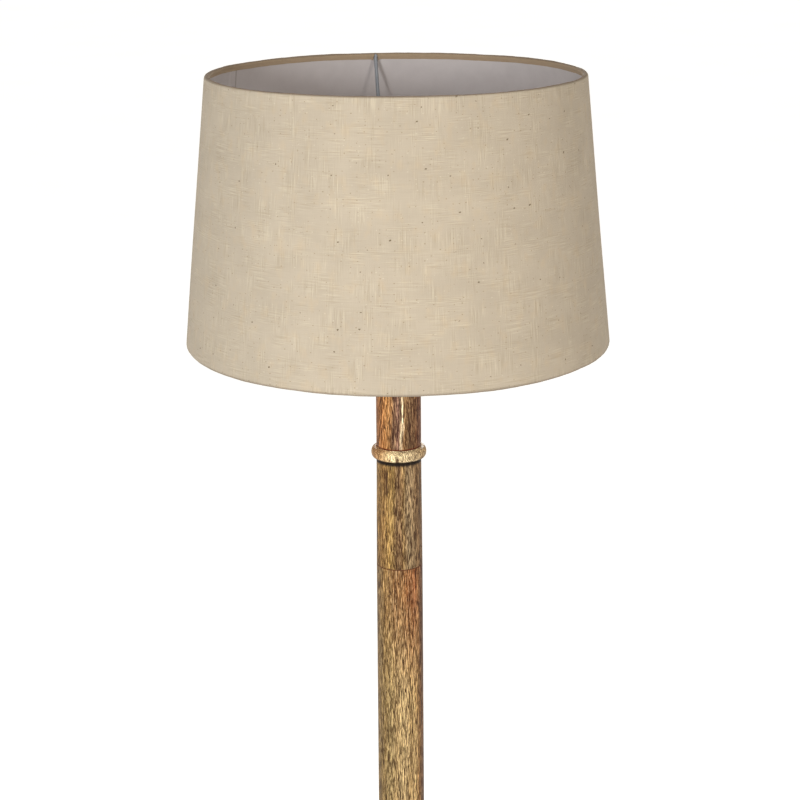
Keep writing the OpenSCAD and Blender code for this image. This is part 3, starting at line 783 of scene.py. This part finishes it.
def weld_bead(centre, out):
    """Vertices and faces of a lumpy drop, longest along out."""
    rows, sides = 9, 20
    half_length, half_width, half_height = 3.4 * MM, 2.9 * MM, 1.1 * MM
    side = Vector((-out.y, out.x, 0))
    verts = []
    for i in range(rows):
        lift = math.pi * (i + 0.5) / rows
        for k in range(sides):
            a = math.tau * k / sides
            reach = math.sin(lift) * (1 + 0.10 * math.sin(3 * a + i))
            flat = out * (half_length * math.cos(a)) + side * (half_width * math.sin(a))
            verts.append(centre + flat * reach + Vector((0, 0, half_height * math.cos(lift))))
    return verts, grid_faces(rows, sides, False) + end_faces(rows, sides)


for number, angle in enumerate(ARM_ANGLES, 1):
    arm_piece(number, angle)


# ---- Column ----

# How far an edge is broken.
BREAK = 0.35 * MM


def column_r(z):
    """Radius of the column's outside at a height."""
    at_joint = high("column_upper", X)
    at_hub = high("column_lower", X)
    if z > JOINT_Z:
        return at_joint + (COLUMN_R - at_joint) * min(1, (z - JOINT_Z) / (RING_BOTTOM - JOINT_Z))
    return at_hub + (at_joint - at_hub) * (z - HUB_TOP) / (JOINT_Z - HUB_TOP)


def side_wall(bottom, top, lower_break=BREAK, upper_break=BREAK, count=40):
    """The column's outside between two heights, with its two edges broken."""
    start = (column_r(bottom), bottom + lower_break)
    end = (column_r(top), top - upper_break)
    wall = [start] + between(start, end, count) + [end]
    return [(start[0] - lower_break, bottom)] + wall + [(end[0] - upper_break, top)]


def column_lower():
    """The long section, with a tenon for the hub below and a pocket for the coupler above."""
    tenon_r, tenon_bottom = HUB_TENON_R, low("column_lower")
    pocket_end = JOINT_Z - COUPLER_DEPTH
    profile = [(BORE_R, tenon_bottom), (tenon_r - BREAK, tenon_bottom), (tenon_r, tenon_bottom + BREAK)]
    profile += [(tenon_r, HUB_TOP)] + side_wall(HUB_TOP, JOINT_Z, count=90)
    profile += [(COUPLER_R, JOINT_Z), (COUPLER_R, pocket_end), (BORE_R, pocket_end)]
    wear = hand_turned(seed=0.4)
    turned("lower_column", profile, "stand", MANGO_LOWER, ["column_lower"], change=wear)


def column_upper():
    """The section between the joint and the ring, with the other pocket below and its dowel above."""
    dowel_top, pocket_end = high("column_upper"), JOINT_Z + COUPLER_DEPTH
    profile = [(COUPLER_R, pocket_end), (COUPLER_R, JOINT_Z)]
    profile += side_wall(JOINT_Z, RING_BOTTOM, upper_break=0.8 * MM)
    profile += [(DOWEL_R, RING_BOTTOM), (DOWEL_R, dowel_top - BREAK), (DOWEL_R - BREAK, dowel_top)]
    profile += [(BORE_R, dowel_top), (BORE_R, pocket_end)]
    wear = hand_turned(seed=1.9)
    turned("upper_column", profile, "stand", MANGO_UPPER, ["column_upper"], change=wear)


def column_neck():
    """The section above the ring, with a mortise for the dowel and a recess for the top nut."""
    top = high("column_neck")
    mortise_r, mortise_top = DOWEL_R + DOWEL_GAP, RING_TOP + 16 * MM
    recess_r, recess_bottom = 12.5 * MM, top - 12 * MM
    profile = [(mortise_r, mortise_top), (mortise_r, RING_TOP)]
    profile += side_wall(RING_TOP, top, lower_break=0.8 * MM)
    profile += [(recess_r, top), (recess_r, recess_bottom), (BORE_R, recess_bottom), (BORE_R, mortise_top)]
    wear = hand_turned(seed=3.3)
    turned("neck", profile, "stand", MANGO_NECK, ["column_neck"], change=wear)


def column_ring():
    """A half-round bead with a small quirk at its top and bottom."""
    bore = DOWEL_R + DOWEL_GAP
    lip, quirk = 0.5 * MM, 0.9 * MM
    root = COLUMN_R + lip
    middle_z, half = (RING_TOP + RING_BOTTOM) / 2, (RING_TOP - RING_BOTTOM) / 2 - quirk
    bead = [
        (root + (RING_R - root) * max(0, math.cos(a)) ** 0.62, middle_z + half * math.sin(a))
        for a in np.radians(np.linspace(-90, 90, 33))
    ]
    profile = [(bore, RING_BOTTOM), (COLUMN_R, RING_BOTTOM)] + bead + [(COLUMN_R, RING_TOP), (bore, RING_TOP)]
    wear = hand_turned(0.1 * MM, seed=5.0)
    turned("ring", profile, "stand", MANGO_RING, ["column_ring"], change=wear)


column_lower()
column_upper()
column_neck()
column_ring()


# ---- Base ----

# A leg's collar, and the tenon that goes through it into the hub.
COLLAR_H = 14 * MM
TENON_R, TENON_H = 11 * MM, 18 * MM


def leg_frame(turn):
    """The place of a leg: the origin on its seat and +Z up the leg."""
    seat = Matrix.Translation((SEAT_R, 0, SEAT_Z)) @ Matrix.Rotation(-SPLAY, 4, "Y")
    return Matrix.Rotation(turn, 4, "Z") @ seat


def leg_profile():
    """A tapered leg with a shoulder under its collar, an ankle bead and a foot that swells and narrows again.

    It runs on past the floor, and is cut level later.
    """
    top_r, ankle_r, foot_r = 17 * MM, 12.5 * MM, 12.3 * MM
    shoulder, shoulder_r = -COLLAR_H - 2 * MM, 2 * MM
    ankle, end = 56 * MM - LEG_LEN, -LEG_LEN - 20 * MM
    bolt_r, bolt_end = 4.02 * MM, -27 * MM
    profile = [(bolt_r, TENON_H), (TENON_R - MM, TENON_H), (TENON_R, TENON_H - MM), (TENON_R, -COLLAR_H)]
    profile += arc((top_r - shoulder_r, shoulder), shoulder_r, 90, 0, 10)
    belly = (top_r, shoulder), (top_r + 0.6 * MM, -LEG_LEN * 0.35), (ankle_r, ankle + 6 * MM)
    profile += smooth_line(belly, 80)[1:]
    profile += arc((ankle_r - 0.5 * MM, ankle), 4.5 * MM, 80, -80, 24)
    foot = (ankle_r - 0.5 * MM, ankle - 6 * MM), (ankle_r + 1.5 * MM, ankle - 26 * MM), (foot_r, -LEG_LEN)
    profile += smooth_line(foot, 24)
    return profile + [(foot_r, end), (0, end), (0, bolt_end), (bolt_r, bolt_end)]


def smooth_line(points, count):
    """A curve through three profile points, evenly spaced in height."""
    (r0, z0), (r1, z1), (r2, z2) = points
    heights = np.linspace(z0, z2, count)
    slope_in, slope_out = (r1 - r0) / (z1 - z0), (r2 - r1) / (z2 - z1)
    bend = (slope_out - slope_in) / (z2 - z0)
    return [np.array([r0 + (z - z0) * slope_in + (z - z0) * (z - z1) * bend, z]) for z in heights]


def cut_level(mesh, z):
    """Cuts a mesh off flat below a height and closes the cut."""
    form = bmesh.new()
    form.from_mesh(mesh)
    everything = form.verts[:] + form.edges[:] + form.faces[:]
    point, down = (0, 0, z), (0, 0, -1)
    cut = bmesh.ops.bisect_plane(form, geom=everything, plane_co=point, plane_no=down, clear_outer=True)
    rim = [edge for edge in cut["geom_cut"] if isinstance(edge, bmesh.types.BMEdge)]
    bmesh.ops.holes_fill(form, edges=rim)
    form.to_mesh(mesh)
    form.free()
    smooth_by_angle(mesh)


def collar_profile():
    """A round bead with broken edges, a little clear of the leg's tenon and shoulder and of the hub."""
    gap, edge, bead_r = 0.05 * MM, 0.4 * MM, 6 * MM
    root = 16 * MM
    profile = [(TENON_R + gap, -gap), (root - edge, -gap), (root, -edge)]
    profile += arc((root - MM, -COLLAR_H / 2), bead_r, 80, -80, 30)
    profile += [(root, edge - COLLAR_H), (root - edge, gap - COLLAR_H)]
    return profile + [(TENON_R + gap, gap - COLLAR_H)]


def legs():
    for number, turn in enumerate(LEG_ANGLES, 1):
        place = leg_frame(turn)
        seed = 7.0 + 1.7 * number
        mango = wood(f"mango_leg_{number}", LOWER_BANDS, along=place, seed=seed, wander=0.2, fleck=0.6)
        pale = wood(
            f"mango_collar_{number}", RING_BANDS, along=place, seed=seed, wander=0.3, fleck=0.8,
            tint=RING_TINT,
        )
        wear = hand_turned(0.08 * MM, seed=seed, top=-COLLAR_H - 3 * MM)
        name, profile = f"leg_{number}", leg_profile()
        leg = turned(name, profile, "stand", mango, [name], place, 128, wear)
        cut_level(leg.data, PAD_H)
        name, profile = f"collar_{number}", collar_profile()
        turned(name, profile, "stand", pale, [f"leg_{name}"], place, 128)


def finial():
    """The drop finial under the hub."""
    top = high("hub_finial")
    shoulder = top - 14 * MM
    profile = [(0, top), (HUB_TENON_R - MM, top), (HUB_TENON_R, top - MM), (HUB_TENON_R, shoulder)]
    profile += [(18.5 * MM, shoulder)]
    profile += arc((16.5 * MM, shoulder - 2.5 * MM), 2.5 * MM, 45, -80, 16)
    profile += arc((17 * MM, shoulder - 13 * MM), 8 * MM, 95, 190, 24)
    profile += arc((0, shoulder - 25 * MM), 13 * MM, 35, -65, 32)
    profile += [(3.6 * MM, shoulder - 39 * MM)]
    profile += arc((0, shoulder - 41 * MM), 4 * MM, 30, -90, 16)
    turned("finial", profile, "stand", MANGO_FINIAL, ["hub_finial"], segments=128)


legs()
finial()


# ---- Lamp holder and bulb ----

SKIRT_PITCH = 2.5 * MM
CAP_PITCH = 3.629 * MM


def threaded(pitch, depth, bottom, top, share):
    """Cuts a rounded thread between two heights. share(radius) is how much of its depth a vertex takes."""

    def change(angle, radius, height):
        turn = np.cos(height / pitch * math.tau - angle)
        run = np.clip((height - bottom) / pitch, 0, 1) * np.clip((top - height) / pitch, 0, 1)
        return radius - share(radius) * depth * run * (0.5 - 0.5 * turn), height

    return change


def skirt():
    """The holder's brass skirt, with a thread for the two clamp rings."""
    bottom, top = low("holder_skirt"), high("holder_skirt")
    outer_r, inner_r = high("holder_skirt", X), 17.4 * MM
    profile = [(outer_r - 0.2 * MM, bottom)]
    profile += [(outer_r, z) for z in np.arange(bottom + 0.2 * MM, top - 0.2 * MM, 0.25 * MM)]
    profile += [(outer_r - 0.3 * MM, top), (inner_r, top), (inner_r, bottom)]
    thread = threaded(SKIRT_PITCH, 0.6 * MM, bottom + 2 * MM, top + MM, lambda r: r > outer_r - 0.1 * MM)
    turned("skirt", profile, "stand", BRASS, ["holder_skirt"], segments=144, change=thread)


def bulb_cap():
    """The bulb's screw cap. Its thread is rolled, so the inside follows the outside."""
    bottom, top = low("bulb_cap"), high("bulb_cap")
    crest, wall = high("bulb_cap", X), 0.4 * MM
    neck = 11.6 * MM
    heights = np.arange(bottom + 2 * MM, top, 0.3 * MM)
    outside = [np.array([neck, bottom])] + [np.array([crest, z]) for z in heights] + [np.array([crest, top])]
    inside = [p - [wall, 0] for p in outside[::-1]]
    thread = threaded(CAP_PITCH, MM, bottom + 1.5 * MM, top - MM, lambda r: 1.0)
    turned("screw_cap", outside + inside, "bulb", STEEL, ["bulb_cap"], segments=144, change=thread)


def bulb_body():
    """The bulb's white housing and its opal dome, with a fine seam between them."""
    bottom, seam = low("bulb_housing"), high("bulb_housing")
    cap_r, top_r, wall = high("bulb_cap", X), 28 * MM, 1.6 * MM
    heights = np.linspace(0, 1, 60)
    # A slow flare from the cap to the seam.
    flare = cap_r + (top_r - cap_r) * (heights**1.9 * (1.9 - 0.9 * heights))
    outside = [np.array([r, bottom + (seam - bottom) * h]) for r, h in zip(flare, heights)]
    outside[-1] = outside[-1] - [0.3 * MM, 0]
    inside = [p - [wall, 0] for p in outside[::-1]]
    shell, slot = outside + inside, "white_plastic"
    turned("housing", shell, "bulb", WHITE_PLASTIC, ["bulb_housing"], segments=160)

    dome_r = (high("bulb_diffuser", X) - low("bulb_diffuser", X)) / 2
    centre = high("bulb_diffuser") - dome_r
    start = -math.degrees(math.asin((centre - seam) / dome_r))
    inner_start = -math.degrees(math.asin((centre - seam - wall) / (dome_r - wall)))
    shell = arc((0, centre), dome_r, start, 90, 60)
    shell += arc((0, centre), dome_r - wall, 90, inner_start, 60)
    shell += [np.array([0, seam + wall]), np.array([0, seam])]
    turned("dome", shell, "bulb", OPAL, ["bulb_diffuser"], segments=160)


skirt()
bulb_cap()
bulb_body()


# ---- CAD nodes that keep their own mesh ----

NODE_MATERIALS = {
    BRASS: [
        "neck_cap", "holder_base", "clamp_ring_lower", "clamp_ring_upper", "tube_coupler",
        "leg_inserts", "socket_shell", "contact_leaf", "terminal_screws", "bulb_contact",
    ],
    STEEL: [
        "foot_screws", "hanger_bolts", "draw_tube_lower", "draw_tube_upper", "bottom_washer",
        "bottom_nut", "top_washer", "top_nut", "holder_set_screw",
    ],
    BLACK_PLASTIC: ["cord_bushing", "holder_body", "switch_bar", "bulb_insulator"],
    PAINTED_WIRE: ["fitter_ring", "top_wire", "bottom_wire"],
    RUBBER: ["foot_pad_1", "foot_pad_2", "foot_pad_3"],
    MANGO_HUB: ["hub"],
    PORCELAIN: ["socket_core"],
    PHOSPHOR: ["led_chips"],
    ALUMINIUM: ["led_plate"],
    BOARD: ["driver_board"],
}
for material, names in NODE_MATERIALS.items():
    for node in names:
        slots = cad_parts[node].data.materials
        slots.clear()
        slots.append(material)


# ---- Stage, light and camera ----


# The photograph's camera, solved from the ellipses of the shade's rims. Angles are in degrees.
CAMERA_DISTANCE = 1.9827
CAMERA_LIFT = 0.2262
CAMERA_LOOK_DOWN, CAMERA_YAW, CAMERA_ROLL = 16.222, -0.048, -0.42
CAMERA_LENS = 86.15


def stage():
    """A pale floor, large enough to fill the view, that glows a little so that it stays nearly white."""
    s = Shader("floor")
    place = s.place()
    tone = s.noise(place, 2.0, 3.0, 0.5)
    colour = s.ramp(tone, [(0.3, srgb(238, 238, 237)), (0.7, srgb(242, 242, 241))])
    material = s.surface(
        Base_Color=colour, Roughness=0.9, Specular_IOR_Level=0.1,
        Emission_Color=(1, 1, 1, 1), Emission_Strength=0.42,
    )
    half = 60.0
    corners = [(-half, -half, 0), (half, -half, 0), (half, half, 0), (-half, half, 0)]
    mesh = bpy.data.meshes.new("floor")
    mesh.from_pydata(corners, [], [(0, 1, 2, 3)])
    mesh.materials.append(material)
    floor = bpy.data.objects.new("floor", mesh)
    bpy.context.scene.collection.objects.link(floor)


def soft_box(name, azimuth, distance, width, height, power, colour, aim_z):
    """An area light. Azimuth is in degrees from the front, positive to the right."""
    data = bpy.data.lights.new(name, "AREA")
    data.shape = "RECTANGLE"
    data.size, data.size_y = width, height
    data.energy = power
    data.color = colour
    data.spread = math.radians(80)
    light = bpy.data.objects.new(name, data)
    a = math.radians(azimuth)
    light.location = (distance * math.sin(a), -distance * math.cos(a), 1.67)
    light.rotation_euler = (Vector((0, 0, aim_z)) - light.location).to_track_quat("-Z", "Y").to_euler()
    light.visible_camera = False
    bpy.context.scene.collection.objects.link(light)


def lights():
    soft_box("key", -28, 2.4, width=0.40, height=0.5, power=8.8, colour=(0.94, 0.98, 1.0), aim_z=1.25)
    soft_box("fill", 36, 2.4, width=0.34, height=0.5, power=4.2, colour=(1.0, 0.97, 0.90), aim_z=1.25)
    soft_box("back", 176, 2.6, width=0.6, height=0.9, power=9.0, colour=(1.0, 0.98, 0.94), aim_z=1.0)
    sun = bpy.data.lights.new("overhead", "SUN")
    sun.energy = 2.0
    sun.color = (1.0, 0.97, 0.93)
    sun.angle = math.radians(50)
    above = bpy.data.objects.new("overhead", sun)
    above.location = (0, 0, 4)
    bpy.context.scene.collection.objects.link(above)
    world = bpy.data.worlds.new("world")
    world.use_nodes = True
    background = world.node_tree.nodes["Background"]
    background.inputs["Color"].default_value = (1.0, 0.98, 0.95, 1.0)
    background.inputs["Strength"].default_value = 0.10
    bpy.context.scene.world = world


def camera():
    data = bpy.data.cameras.new("camera")
    data.sensor_width = 36
    data.lens = CAMERA_LENS
    data.clip_end = 200
    cam = bpy.data.objects.new("camera", data)
    cam.location = (0, -CAMERA_DISTANCE, SHADE_TOP + CAMERA_LIFT)
    yaw = Matrix.Rotation(math.radians(CAMERA_YAW), 3, "Z")
    pitch = Matrix.Rotation(math.radians(90 - CAMERA_LOOK_DOWN), 3, "X")
    roll = Matrix.Rotation(math.radians(CAMERA_ROLL), 3, "Z")
    cam.rotation_euler = (yaw @ pitch @ roll).to_euler()
    bpy.context.scene.collection.objects.link(cam)
    bpy.context.scene.camera = cam


stage()
lights()
camera()
bpy.context.scene.view_settings.view_transform = "Standard"
